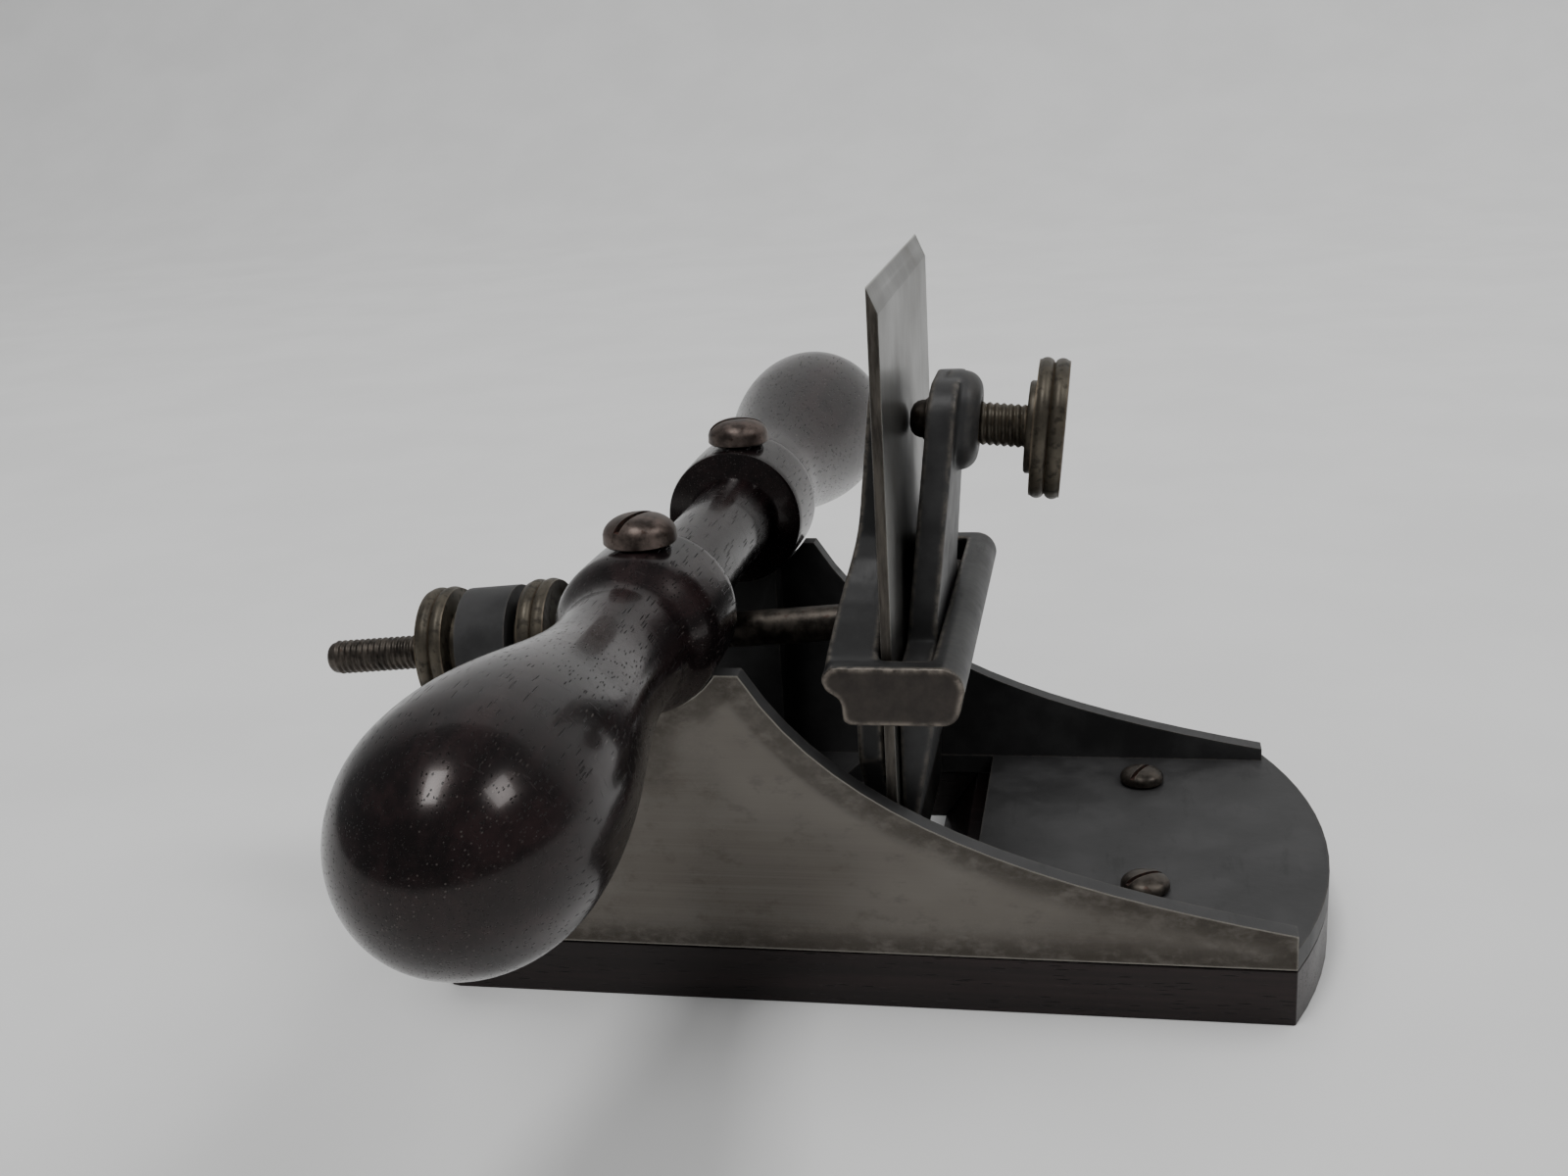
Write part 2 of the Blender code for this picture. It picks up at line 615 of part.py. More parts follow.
def cap_front_outline():
    """The same piece from the front: an arm that widens downward, and a broad foot from inside the slot."""
    corner = 8.5 * MM
    half = [(CAP_FOOT_HALF_WIDTH, CAP_FOOT_Z - 1 * MM), (CAP_FOOT_HALF_WIDTH, CAP_SHOULDER_Z - 1 * MM)]
    half += [(CAP_SHOULDER_HALF_WIDTH, CAP_SHOULDER_Z)]
    half += arc((CAP_TOP_HALF_WIDTH - corner, CAP_TOP_Z - corner), corner, 10, 90, 8)
    return half + [(-y, z) for y, z in reversed(half)]


def screw_axis():
    """Start on the blade's face and direction of the thumbscrew, square to the leaning arm."""
    start = Vector((BLADE_BACK_X + BLADE_THICKNESS + GAP, 0.0, SCREW_Z_AT_BLADE))
    return start, Vector((math.cos(CAP_TILT), 0.0, -math.sin(CAP_TILT)))


def build_lever_cap(japan):
    cap = outline_plate("lever_cap", cap_side_outline(), -34 * MM, 34 * MM, "XZ", parts)
    combine(cap, outline_plate("cap_front", cap_front_outline(), 15 * MM, 45 * MM, "YZ"), "INTERSECT")
    start, along = screw_axis()
    edge = 3.4 * MM
    rounding = arc((BOSS_RADIUS - edge, BOSS_END - edge), edge, 90, 0, 5)
    boss = [(0.0, BOSS_END)] + rounding + [(BOSS_RADIUS, 6.5 * MM), (0.0, 6.5 * MM)]
    combine(cap, turned("cap_boss", boss, start, along, 36), "UNION")
    ends = [start + along * d * MM for d in (-2, 20)]
    combine(cap, cylinder("cap_screw_hole", SCREW_RADIUS + GAP, *ends, 24), "DIFFERENCE")
    finish(cap, japan, 40)


def ridged_rim(start, width, radius):
    """Rim of a thumb wheel with two ridges and a groove, from its far face back to its near face."""
    steps = ((0, -0.5), (0.09, 0), (0.34, 0), (0.43, -0.8), (0.57, -0.8), (0.66, 0), (0.91, 0), (1.0, -0.5))
    return [(radius + rise * MM, start + width * (1 - t)) for t, rise in steps]


def build_thumbscrew(brass):
    start, along = screw_axis()
    hub_start = 21.2 * MM
    hub_end = 22.5 * MM
    profile = [(0.0, hub_end + WHEEL_WIDTH)] + ridged_rim(hub_end, WHEEL_WIDTH, NUT_RADIUS)
    profile += [(NUT_HUB_RADIUS, hub_end), (NUT_HUB_RADIUS, hub_start)]
    profile += [(SCREW_RADIUS, hub_start), (SCREW_RADIUS, 2.4 * MM)]
    profile += [(3.5 * MM, 1.6 * MM), (2.4 * MM, 0.5 * MM), (1.6 * MM, 0.05 * MM), (0.0, 0.05 * MM)]
    finish(turned("thumbscrew", profile, start, along, 36, parts), brass)


# ---------------------------------------------------------------- adjusting rod and nuts


def build_rod(steel):
    start = Vector((ROD_PIN_X, 0.0, ROD_PIN_Z))
    end = ROD_LENGTH
    tip = [(0.0, end), (1.6 * MM, end - 0.15 * MM), (2.8 * MM, end - 0.9 * MM), (ROD_RADIUS, end - 2.2 * MM)]
    profile = tip + [(ROD_RADIUS, 3.0 * MM), (0.0, 3.0 * MM)]
    rod = turned("adjusting_rod", profile, start, ROD_DIRECTION, 24, parts)
    eye_ends = [start + Vector((0, y * MM, 0)) for y in (-4.3, 4.3)]
    combine(rod, cylinder("rod_eye", ROD_EYE_RADIUS, *eye_ends, 24), "UNION")
    bore_ends = [start + Vector((0, y * MM, 0)) for y in (-6, 6)]
    combine(rod, cylinder("rod_eye_bore", ROD_PIN_RADIUS + GAP, *bore_ends, 16), "DIFFERENCE")
    finish(rod, steel)


def build_nuts(brass):
    """Two knurled nuts, one on each side of the post, with their hubs against its eye."""
    half_eye = POST_EYE_WIDTH / 2
    bore = 4.2 * MM
    hub = 2.1 * MM
    for name, outward in (("rear_nut", 1), ("front_nut", -1)):
        direction = Vector(ROD_DIRECTION) * outward
        start = Vector(rod_point(POST_DISTANCE + outward * (half_eye + GAP)))
        profile = [(bore, hub + WHEEL_WIDTH)] + ridged_rim(hub, WHEEL_WIDTH, NUT_RADIUS)
        profile += [(NUT_HUB_RADIUS, hub), (NUT_HUB_RADIUS, 0.0), (bore, 0.0)]
        finish(turned(name, profile, start, direction, 36, parts, closed=True), brass)


def main():
    global parts, cutters
    clear_scene()
    parts = new_collection("scraper_plane")
    cutters = new_collection("cutters")
    iron = make_material("ground_iron", (0.28, 0.27, 0.26), 0.45, 0.8)
    japan = make_material("worn_japanning", (0.03, 0.03, 0.035), 0.45, 0.2)
    rosewood = make_material("dark_rosewood", (0.035, 0.018, 0.015), 0.3, 0.0)
    blade_steel = make_material("blade_steel", (0.42, 0.42, 0.41), 0.35, 1.0)
    dark_steel = make_material("browned_steel", (0.12, 0.085, 0.07), 0.5, 0.7)
    brass = make_material("dull_brass", (0.16, 0.13, 0.08), 0.45, 0.8)

    build_body(iron)
    build_sole(rosewood)
    build_sole_screws(dark_steel)
    build_handle(rosewood)
    build_handle_screws(dark_steel)
    build_frog(japan)
    build_pins(dark_steel)
    build_blade(blade_steel)
    build_lever_cap(japan)
    build_thumbscrew(brass)
    build_rod(dark_steel)
    build_nuts(brass)


main()
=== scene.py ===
"""Looks of the cabinet scraper plane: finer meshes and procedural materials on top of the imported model."""

import math

import bmesh
import bpy
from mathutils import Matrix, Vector


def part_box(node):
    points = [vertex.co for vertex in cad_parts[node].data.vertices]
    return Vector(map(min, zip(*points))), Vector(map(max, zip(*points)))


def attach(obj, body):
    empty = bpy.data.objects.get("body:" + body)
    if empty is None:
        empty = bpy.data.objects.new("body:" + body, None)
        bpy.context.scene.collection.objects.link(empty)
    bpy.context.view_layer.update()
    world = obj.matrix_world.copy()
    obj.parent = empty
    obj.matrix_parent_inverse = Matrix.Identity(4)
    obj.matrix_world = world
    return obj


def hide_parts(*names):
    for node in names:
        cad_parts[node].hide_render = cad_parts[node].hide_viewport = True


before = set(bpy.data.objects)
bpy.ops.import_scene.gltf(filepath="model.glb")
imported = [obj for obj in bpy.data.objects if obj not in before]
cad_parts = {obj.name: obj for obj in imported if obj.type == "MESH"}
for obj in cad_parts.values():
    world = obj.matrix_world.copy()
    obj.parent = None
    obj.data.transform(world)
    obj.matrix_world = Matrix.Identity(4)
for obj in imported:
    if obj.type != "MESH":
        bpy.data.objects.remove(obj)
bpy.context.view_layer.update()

MM = 0.001

# Camera
CAMERA_PLACE = (0.058906, -0.305912, 0.164445)
CAMERA_TURN_DEG = (72.247, 3.294, 10.434)
LENS_MM = 39.375
SENSOR_MM = 36.0

# Turned and threaded pieces
THREAD_PITCH = 1.27 * MM
THREAD_DEPTH = 0.42 * MM
ROD_SLOPE = math.radians(4.5)
ROD_RADIUS = 3.45 * MM
ROD_PLAIN_LENGTH = 26 * MM
ROD_EYE_HALF_WIDTH = 4.3 * MM
ROD_EYE_BORE = 2.1 * MM
CAP_TILT = math.radians(5.5)
RIM_WIDTH = 5.5 * MM
HUB_RADIUS = 8.4 * MM
NUT_HUB_WIDTH = 2.1 * MM
NUT_BORE = 4.2 * MM
THUMBSCREW_LENGTH = 28.0 * MM
THUMBSCREW_HUB_START = 21.2 * MM
THUMBSCREW_THREAD_START = 3.0 * MM
THUMBSCREW_RADIUS = 3.95 * MM
# Length of the thumbscrew's tip that is painted dark as shade.
THUMBSCREW_SHADED_TIP_LENGTH = 7 * MM
SMALL_CHAMFER = 0.35 * MM

# Screws: head radius, head height and slot width
HANDLE_SCREW = (6.3 * MM, 5.0 * MM, 1.2 * MM)
SOLE_SCREW = (4.4 * MM, 2.8 * MM, 0.9 * MM)
HANDLE_SLOTS_DEG = {"near": 63, "far": 20}
SOLE_SLOTS_DEG = {"front_near": 35, "front_far": 60, "rear_near": 10, "rear_far": 125}

# Castings and blade. A face this close to a piece's widest place is one of its outer sides.
CAST_VOXEL = 0.42 * MM
CAST_ROUNDS = 12
OUTER_FACE_DEPTH = 0.1 * MM
CAST_OUTER_FACE_DEPTH = 0.6 * MM

# Handle profile
KNOB_RADIUS = 18.4 * MM
KNOB_CAP_LENGTH = 24.4 * MM
KNOB_FULL_Y = 114.4 * MM
KNOB_START_Y = 60.0 * MM
NECK_RADIUS = 11.0 * MM
BEAD_RADIUS = 14.3 * MM
BEAD_OUTER_Y = 52.2 * MM
BEAD_FULL_Y = 43.0 * MM
GRIP_RADIUS = 8.5 * MM
SHOULDER_Y = 28.3 * MM
SCREW_SEAT_Z = 84.6 * MM
SCREW_SEAT_RADIUS = 6.65 * MM
SCREW_SEAT_DEPTH = 12 * MM

# Stage
FLOOR_HALF_WIDTH = 3.0
FLOOR_FRONT_Y = -3.0
BACKDROP_Y = 1.1
BACKDROP_RADIUS = 0.5
BACKDROP_TOP_Z = 3.0


# ---------------------------------------------------------------- node graphs


class Graph:
    """Short-hand for one material's nodes, in the object's own coordinates, in metres."""

    def __init__(self, name):
        self.material = bpy.data.materials.new(name)
        self.material.use_nodes = True
        self.tree = self.material.node_tree
        self.shader = self.tree.nodes["Principled BSDF"]
        self.coords = self.node("ShaderNodeTexCoord").outputs["Object"]

    def node(self, kind, **settings):
        made = self.tree.nodes.new(kind)
        for key, value in settings.items():
            setattr(made, key, value)
        return made

    def feed(self, socket, value):
        if isinstance(value, bpy.types.NodeSocket):
            self.tree.links.new(value, socket)
        else:
            socket.default_value = value

    def noise(self, per_metre, detail=3.0, rough=0.55, shift=0.0, distortion=0.0):
        """Noise whose grain is per_metre = (x, y, z) cells to the metre."""
        place = self.node("ShaderNodeMapping")
        self.feed(place.inputs["Vector"], self.coords)
        place.inputs["Location"].default_value = (shift, shift * 1.7, shift * 0.6)
        place.inputs["Scale"].default_value = per_metre
        made = self.node("ShaderNodeTexNoise")
        self.feed(made.inputs["Vector"], place.outputs["Vector"])
        made.inputs["Scale"].default_value = 1.0
        made.inputs["Detail"].default_value = detail
        made.inputs["Roughness"].default_value = rough
        made.inputs["Distortion"].default_value = distortion
        return made.outputs["Fac"]

    def cells(self, per_metre, shift=0.0):
        """Distance to the nearest of scattered points, in cells."""
        place = self.node("ShaderNodeMapping")
        self.feed(place.inputs["Vector"], self.coords)
        place.inputs["Location"].default_value = (shift, shift, shift)
        place.inputs["Scale"].default_value = per_metre
        made = self.node("ShaderNodeTexVoronoi")
        self.feed(made.inputs["Vector"], place.outputs["Vector"])
        made.inputs["Scale"].default_value = 1.0
        return made.outputs["Distance"]

    def span(self, value, low, high, to_low=0.0, to_high=1.0):
        """value from low..high to to_low..to_high, clamped, with soft ends."""
        made = self.node("ShaderNodeMapRange", interpolation_type="SMOOTHSTEP")
        self.feed(made.inputs["Value"], value)
        limits = {"From Min": low, "From Max": high, "To Min": to_low, "To Max": to_high}
        for key, number in limits.items():
            made.inputs[key].default_value = number
        return made.outputs["Result"]

    def math(self, operation, a, b=0.0):
        made = self.node("ShaderNodeMath", operation=operation)
        self.feed(made.inputs[0], a)
        self.feed(made.inputs[1], b)
        return made.outputs[0]

    def blend(self, share, a, b):
        made = self.node("ShaderNodeMix", data_type="RGBA")
        self.feed(made.inputs["Factor"], share)
        for socket, value in ((made.inputs[6], a), (made.inputs[7], b)):
            self.feed(socket, value if isinstance(value, bpy.types.NodeSocket) else (*value, 1.0))
        return made.outputs[2]

    def axis(self, index):
        made = self.node("ShaderNodeSeparateXYZ")
        self.feed(made.inputs[0], self.coords)
        return made.outputs[index]

    def edges(self, radius, low=0.02, high=0.25):
        """1 on edges sharper than radius, 0 on open faces."""
        rounded = self.node("ShaderNodeBevel", samples=6)
        rounded.inputs["Radius"].default_value = radius
        plain = self.node("ShaderNodeNewGeometry")
        dot = self.node("ShaderNodeVectorMath", operation="DOT_PRODUCT")
        self.feed(dot.inputs[0], rounded.outputs["Normal"])
        self.feed(dot.inputs[1], plain.outputs["Normal"])
        return self.span(self.math("SUBTRACT", 1.0, dot.outputs["Value"]), low, high)

    def ridges(self, low, high):
        """1 on the rounded outer corners of a dense mesh, 0 on open faces and in hollows."""
        return self.span(self.node("ShaderNodeNewGeometry").outputs["Pointiness"], low, high)

    def bump(self, height, distance, strength=1.0, below=None):
        made = self.node("ShaderNodeBump")
        made.inputs["Strength"].default_value = strength
        made.inputs["Distance"].default_value = distance
        self.feed(made.inputs["Height"], height)
        if below is not None:
            self.feed(made.inputs["Normal"], below)
        return made.outputs["Normal"]

    def surface(self, color, roughness, metallic=0.0, normal=None, **constants):
        self.feed(self.shader.inputs["Base Color"], color)
        self.feed(self.shader.inputs["Roughness"], roughness)
        self.feed(self.shader.inputs["Metallic"], metallic)
        if normal is not None:
            self.feed(self.shader.inputs["Normal"], normal)
        for key, value in constants.items():
            self.shader.inputs[key.replace("_", " ")].default_value = value
        return self.material


# ---------------------------------------------------------------- materials


def rosewood(name, along, polished, wax_and_glints):
    """Near-black rosewood, its grain along one axis, with open pores, pale flecks in some that are partly
    wax and partly painted glints of light, and a worn polish.

    polished is the roughness where the polish is best.
    """
    g = Graph(name)

    def grain(across, lengthwise):
        return tuple(lengthwise if i == along else across for i in range(3))

    figure = g.noise(grain(150, 7), detail=5.0, rough=0.6, distortion=0.5)
    streak = g.noise(grain(800, 18), detail=2.0, shift=3.1)
    tone = g.math("ADD", g.math("MULTIPLY", figure, 0.7), g.math("MULTIPLY", streak, 0.3))
    color = g.blend(g.span(tone, 0.40, 0.68), (0.0050, 0.0034, 0.0038), (0.0175, 0.0098, 0.0102))
    patches = g.span(g.noise(grain(70, 30), detail=1.0, shift=5.0), 0.30, 0.55, 0.12, 1.0)
    pores = g.span(g.cells(grain(2000, 150)), 0.15, 0.25, 1.0, 0.0)
    pores = g.math("MULTIPLY", pores, patches)
    color = g.blend(pores, color, (0.0012, 0.0010, 0.0010))
    # Pale flecks in some pores: partly wax in them, partly painted glints of light off the pore edges.
    wax_and_glint_flecks = g.span(g.cells(grain(1300, 190), 4.4), 0.11, 0.18, 1.0, 0.0)
    wax_and_glint_flecks = g.math("MULTIPLY", wax_and_glint_flecks, g.span(g.noise(grain(55, 40), detail=1.0, shift=9.0), 0.40, 0.60))
    color = g.blend(g.math("MULTIPLY", wax_and_glint_flecks, wax_and_glints), color, (0.075, 0.066, 0.061))
    dull = g.noise((60, 60, 60), detail=4.0, shift=1.4)
    roughness = g.span(dull, 0.3, 0.75, polished, polished + 0.10)
    roughness = g.math("ADD", roughness, g.math("MULTIPLY", pores, 0.3))
    scuff = g.noise(grain(320, 1500), detail=2.0, shift=7.0)
    roughness = g.math("ADD", roughness, g.span(scuff, 0.62, 0.74, 0.0, 0.12))
    waves = g.bump(g.noise((200, 200, 200), detail=2.0, shift=4.0), 0.00005, 0.5)
    normal = g.bump(g.math("SUBTRACT", 1.0, pores), 0.00030, 0.9, waves)
    return g.surface(
        color,
        roughness,
        0.0,
        normal,
        Specular_IOR_Level=0.31,
        Specular_Tint=(1.0, 0.90, 0.87, 1.0),
        Coat_Weight=0.12,
        Coat_Roughness=0.05,
    )


def ground_iron(name):
    """Cheeks' outer faces: ground lengthwise, darker along the rim and at the toe, with a painted highlight
    along the arrises.
    """
    g = Graph(name)
    lines = g.noise((14, 300, 4200), detail=3.0, rough=0.6)
    broad = g.noise((10, 60, 420), detail=3.0, shift=2.0)
    cloud = g.noise((22, 22, 36), detail=3.0, shift=11.0)
    mottle = g.noise((260, 260, 420), detail=6.0, rough=0.65, shift=6.0)
    color = g.blend(g.span(cloud, 0.32, 0.70), (0.122, 0.109, 0.096), (0.190, 0.176, 0.158))
    color = g.blend(g.span(broad, 0.35, 0.65, 0.0, 0.35), color, (0.162, 0.150, 0.133))
    color = g.blend(g.span(lines, 0.40, 0.70, 0.0, 0.13), color, (0.235, 0.222, 0.200))
    rim = g.math("MULTIPLY", g.edges(0.0080, 0.0005, 0.016), g.span(mottle, 0.28, 0.58, 0.3, 1.0))
    color = g.blend(g.math("MULTIPLY", rim, 0.8), color, (0.045, 0.038, 0.031))
    spots = g.span(g.noise((190, 190, 330), detail=6.0, rough=0.68, shift=3.0), 0.52, 0.70, 0.0, 0.28)
    color = g.blend(spots, color, (0.060, 0.052, 0.044))
    toe = g.span(g.axis(0), 0.015, 0.085, 0.0, 0.34)
    toe = g.math("MULTIPLY", toe, g.span(mottle, 0.25, 0.6, 0.5, 1.0))
    color = g.blend(toe, color, (0.050, 0.044, 0.037))
    # Painted highlight: the arrises lightened in colour to stand for the light they catch.
    edge = g.math("MULTIPLY", g.edges(0.0009, 0.04, 0.28), g.span(mottle, 0.25, 0.5, 0.5, 1.0))
    color = g.blend(edge, color, (0.42, 0.40, 0.36))
    roughness = g.span(g.math("ADD", lines, cloud), 0.7, 1.3, 0.36, 0.50)
    roughness = g.math("ADD", roughness, g.math("MULTIPLY", rim, 0.12))
    normal = g.bump(lines, 0.000018, 0.7)
    normal = g.bump(g.noise((420, 420, 420), detail=3.0, shift=9.0), 0.00002, 0.4, normal)
    return g.surface(color, roughness, 0.92, normal, Anisotropic=0.30)


def near_black(value):
    """A grey with a trace less green than red and blue."""
    return (value, value * 0.99, value)


def japanned_iron(name, wear, tint, dullness, rounded=False):
    """Black stoved finish, rubbed to brown metal along edges or, if rounded, on outer corners."""
    g = Graph(name)
    cloud = g.noise((90, 90, 90), detail=5.0, rough=0.6)
    speck = g.noise((900, 900, 900), detail=3.0, shift=4.0)
    color = g.blend(g.span(cloud, 0.35, 0.7), near_black(0.0190 * tint), near_black(0.0330 * tint))
    dust = g.math("MULTIPLY", g.span(speck, 0.60, 0.72), g.span(cloud, 0.45, 0.65))
    color = g.blend(g.math("MULTIPLY", dust, 0.35), color, (0.050, 0.043, 0.037))
    rubbed = g.noise((420, 420, 420), detail=6.0, rough=0.7, shift=8.0)
    corner = g.ridges(0.503, 0.528) if rounded else g.edges(0.0009, 0.03, 0.21)
    edge = g.math("MULTIPLY", corner, g.span(rubbed, 0.36, 0.60, 0.10 * wear, wear))
    color = g.blend(edge, color, (0.165, 0.148, 0.128))
    scratch = g.noise((240, 60, 60), detail=5.0, rough=0.7, shift=2.0)
    roughness = g.span(cloud, 0.3, 0.75, 0.33 + dullness, 0.47 + dullness)
    roughness = g.math("ADD", roughness, g.span(scratch, 0.55, 0.70, 0.0, 0.10))
    metallic = g.math("MULTIPLY", edge, 0.7)
    normal = g.bump(g.noise((300, 300, 300), detail=4.0, shift=7.0), 0.00010, 0.5)
    return g.surface(color, roughness, metallic, normal, Specular_IOR_Level=0.26)


def bare_iron(name):
    """Bare casting skin on the ends of the frog's bar: brown, matt, with a lighter rubbed rim."""
    g = Graph(name)
    cloud = g.noise((260, 260, 260), detail=6.0, rough=0.65)
    color = g.blend(g.span(cloud, 0.3, 0.7), (0.026, 0.021, 0.018), (0.056, 0.046, 0.039))
    edge = g.math("MULTIPLY", g.ridges(0.503, 0.530), g.span(cloud, 0.38, 0.62, 0.15, 0.9))
    color = g.blend(edge, color, (0.270, 0.235, 0.200))
    normal = g.bump(g.noise((700, 700, 700), detail=4.0, shift=3.0), 0.00010, 0.8)
    return g.surface(color, g.span(cloud, 0.3, 0.7, 0.42, 0.6), 0.5, normal)


def blade_steel(name):
    """Satin spring steel, rolled upright, with faint grey stains and a painted highlight along its edges."""
    g = Graph(name)
    rolled = g.noise((200, 2300, 20), detail=3.0, rough=0.6)
    stain = g.noise((60, 60, 48), detail=6.0, shift=5.0)
    color = g.blend(g.span(rolled, 0.3, 0.7), (0.170, 0.168, 0.161), (0.250, 0.247, 0.238))
    color = g.blend(g.span(stain, 0.52, 0.72, 0.0, 0.45), color, (0.15, 0.14, 0.12))
    # Painted highlight: the blade's edges lightened in colour to stand for the light they catch.
    color = g.blend(g.edges(0.0005), color, (0.58, 0.57, 0.54))
    roughness = g.span(g.math("ADD", rolled, stain), 0.7, 1.3, 0.28, 0.44)
    normal = g.bump(rolled, 0.00002, 0.6)
    return g.surface(color, roughness, 1.0, normal, Anisotropic=0.3)


def blade_edge(name):
    """The sheared long edges of the blade: darker, with brown oxide and a painted highlight along their
    corners.
    """
    g = Graph(name)
    cloud = g.noise((600, 600, 90), detail=5.0, rough=0.6)
    color = g.blend(g.span(cloud, 0.35, 0.68), (0.040, 0.035, 0.030), (0.110, 0.098, 0.084))
    # Painted highlight: the corners of the sheared sides lightened in colour.
    color = g.blend(g.edges(0.0004, 0.02, 0.2), color, (0.34, 0.325, 0.30))
    return g.surface(color, 0.46, 0.8, g.bump(cloud, 0.00004, 0.6))


def patinated_brass(name):
    """Olive-brown brass with rubbed, warmer ridges and dark grooves."""
    g = Graph(name)
    cloud = g.noise((160, 160, 160), detail=6.0, rough=0.6)
    grime = g.noise((650, 650, 650), detail=4.0, shift=3.0)
    color = g.blend(g.span(cloud, 0.3, 0.72), (0.058, 0.050, 0.038), (0.115, 0.099, 0.074))
    color = g.blend(g.span(grime, 0.50, 0.68, 0.0, 0.7), color, (0.020, 0.017, 0.013))
    edge = g.math("MULTIPLY", g.edges(0.0008, 0.04, 0.30), g.span(grime, 0.3, 0.6, 0.3, 1.0))
    color = g.blend(g.math("MULTIPLY", edge, 0.6), color, (0.240, 0.180, 0.120))
    roughness = g.span(g.math("ADD", cloud, grime), 0.7, 1.3, 0.38, 0.56)
    return g.surface(color, roughness, 0.6, g.bump(grime, 0.00003, 0.6))


def browned_steel(name, light):
    """Screws, pins and the rod: steel gone brown, brighter where it is rubbed."""
    g = Graph(name)
    cloud = g.noise((330, 330, 330), detail=6.0, rough=0.62)
    rust = g.noise((900, 900, 900), detail=3.0, shift=6.0)
    low = tuple(0.32 * c for c in light)
    color = g.blend(g.span(cloud, 0.32, 0.68), low, light)
    color = g.blend(g.span(rust, 0.58, 0.72, 0.0, 0.6), color, (0.040, 0.018, 0.012))
    edge = g.math("MULTIPLY", g.edges(0.0005, 0.03, 0.3), g.span(rust, 0.3, 0.55, 0.3, 1.0))
    color = g.blend(g.math("MULTIPLY", edge, 0.7), color, (0.28, 0.24, 0.205))
    roughness = g.span(cloud, 0.3, 0.7, 0.34, 0.50)
    return g.surface(color, roughness, 0.8, g.bump(rust, 0.00005, 0.7))


def slot_grime_and_shadow(name):
    """Old dirt and rust at the bottom of a screw slot, darkened further as painted shade for the recess."""
    g = Graph(name)
    cloud = g.noise((1100, 1100, 1100), detail=4.0)
    # Dark colour: part dirt and rust, part painted shade in the slot's recess.
    color = g.blend(g.span(cloud, 0.35, 0.65), (0.014, 0.008, 0.006), (0.050, 0.020, 0.013))
    return g.surface(color, 0.75, 0.0, g.bump(cloud, 0.00008, 0.8))


def floor_paper(name):
    """Pale matt ground with a very faint mottling."""
    g = Graph(name)
    cloud = g.noise((14, 14, 14), detail=3.0)
    color = g.blend(g.span(cloud, 0.3, 0.7), (0.79, 0.79, 0.785), (0.83, 0.83, 0.825))
    return g.surface(color, 0.9)


# ---------------------------------------------------------------- mesh tools


def new_piece(name, bm, body, materials, replaces=(), smooth_deg=35.0):
    """Makes an object of bm that rides on the body and stands for the CAD nodes in replaces."""
    mesh = bpy.data.meshes.new(name)
    bm.to_mesh(mesh)
    bm.free()
    for material in materials:
        mesh.materials.append(material)
    mesh.shade_smooth()
    mesh.set_sharp_from_angle(angle=math.radians(smooth_deg))
    obj = bpy.data.objects.new(name, mesh)
    bpy.context.scene.collection.objects.link(obj)
    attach(obj, body)
    if replaces:
        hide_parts(*replaces)
    return obj


def apply_modifiers(obj):
    """Makes obj's mesh the one that its modifiers give, and removes them."""
    bpy.context.view_layer.update()
    graph = bpy.context.evaluated_depsgraph_get()
    made = bpy.data.meshes.new_from_object(obj.evaluated_get(graph), depsgraph=graph)
    obj.modifiers.clear()
    obj.data = made
    return obj


def cad_mesh(node):
    """The node's mesh as a welded bmesh with its flat faces joined up."""
    bm = bmesh.new()
    bm.from_mesh(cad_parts[node].data)
    bmesh.ops.remove_doubles(bm, verts=bm.verts, dist=0.002 * MM)
    bmesh.ops.dissolve_limit(bm, angle_limit=math.radians(0.6), verts=bm.verts, edges=bm.edges)
    return bm


def soften(obj, width, segments=2, angle=32):
    """Rounds the edges of obj by width."""
    bevel = obj.modifiers.new("Softened edges", "BEVEL")
    bevel.width = width
    bevel.segments = segments
    bevel.limit_method = "ANGLE"
    bevel.angle_limit = math.radians(angle)
    bevel.harden_normals = True
    return apply_modifiers(obj)


def cast(obj, voxel, rounds):
    """Turns a hard-edged mesh into one with the rounded corners and fillets of a casting."""
    remesh = obj.modifiers.new("Remesh", "REMESH")
    remesh.mode = "VOXEL"
    remesh.voxel_size = voxel
    smooth = obj.modifiers.new("Smooth", "SMOOTH")
    smooth.factor = 0.5
    smooth.iterations = rounds
    apply_modifiers(obj)
    obj.data.shade_smooth()
    return obj


def paint_faces(obj, chosen):
    """Gives obj's second material to the faces that chosen(centre, normal) picks."""
    for face in obj.data.polygons:
        if chosen(face.center, face.normal):
            face.material_index = 1


def paint_sides(obj, node, squareness, depth):
    """Gives obj's second material to the faces across Y within depth of the node's widest place."""
    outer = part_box(node)[1].y
    paint_faces(obj, lambda centre, normal: abs(normal.y) > squareness and abs(centre.y) > outer - depth)


def frame_along(direction):
    """Two unit vectors square to direction."""
    axis = Vector(direction).normalized()
    side = axis.cross(Vector((0, 0, 1))) if abs(axis.z) < 0.9 else axis.cross(Vector((1, 0, 0)))
    side.normalize()
    return axis, side, axis.cross(side)


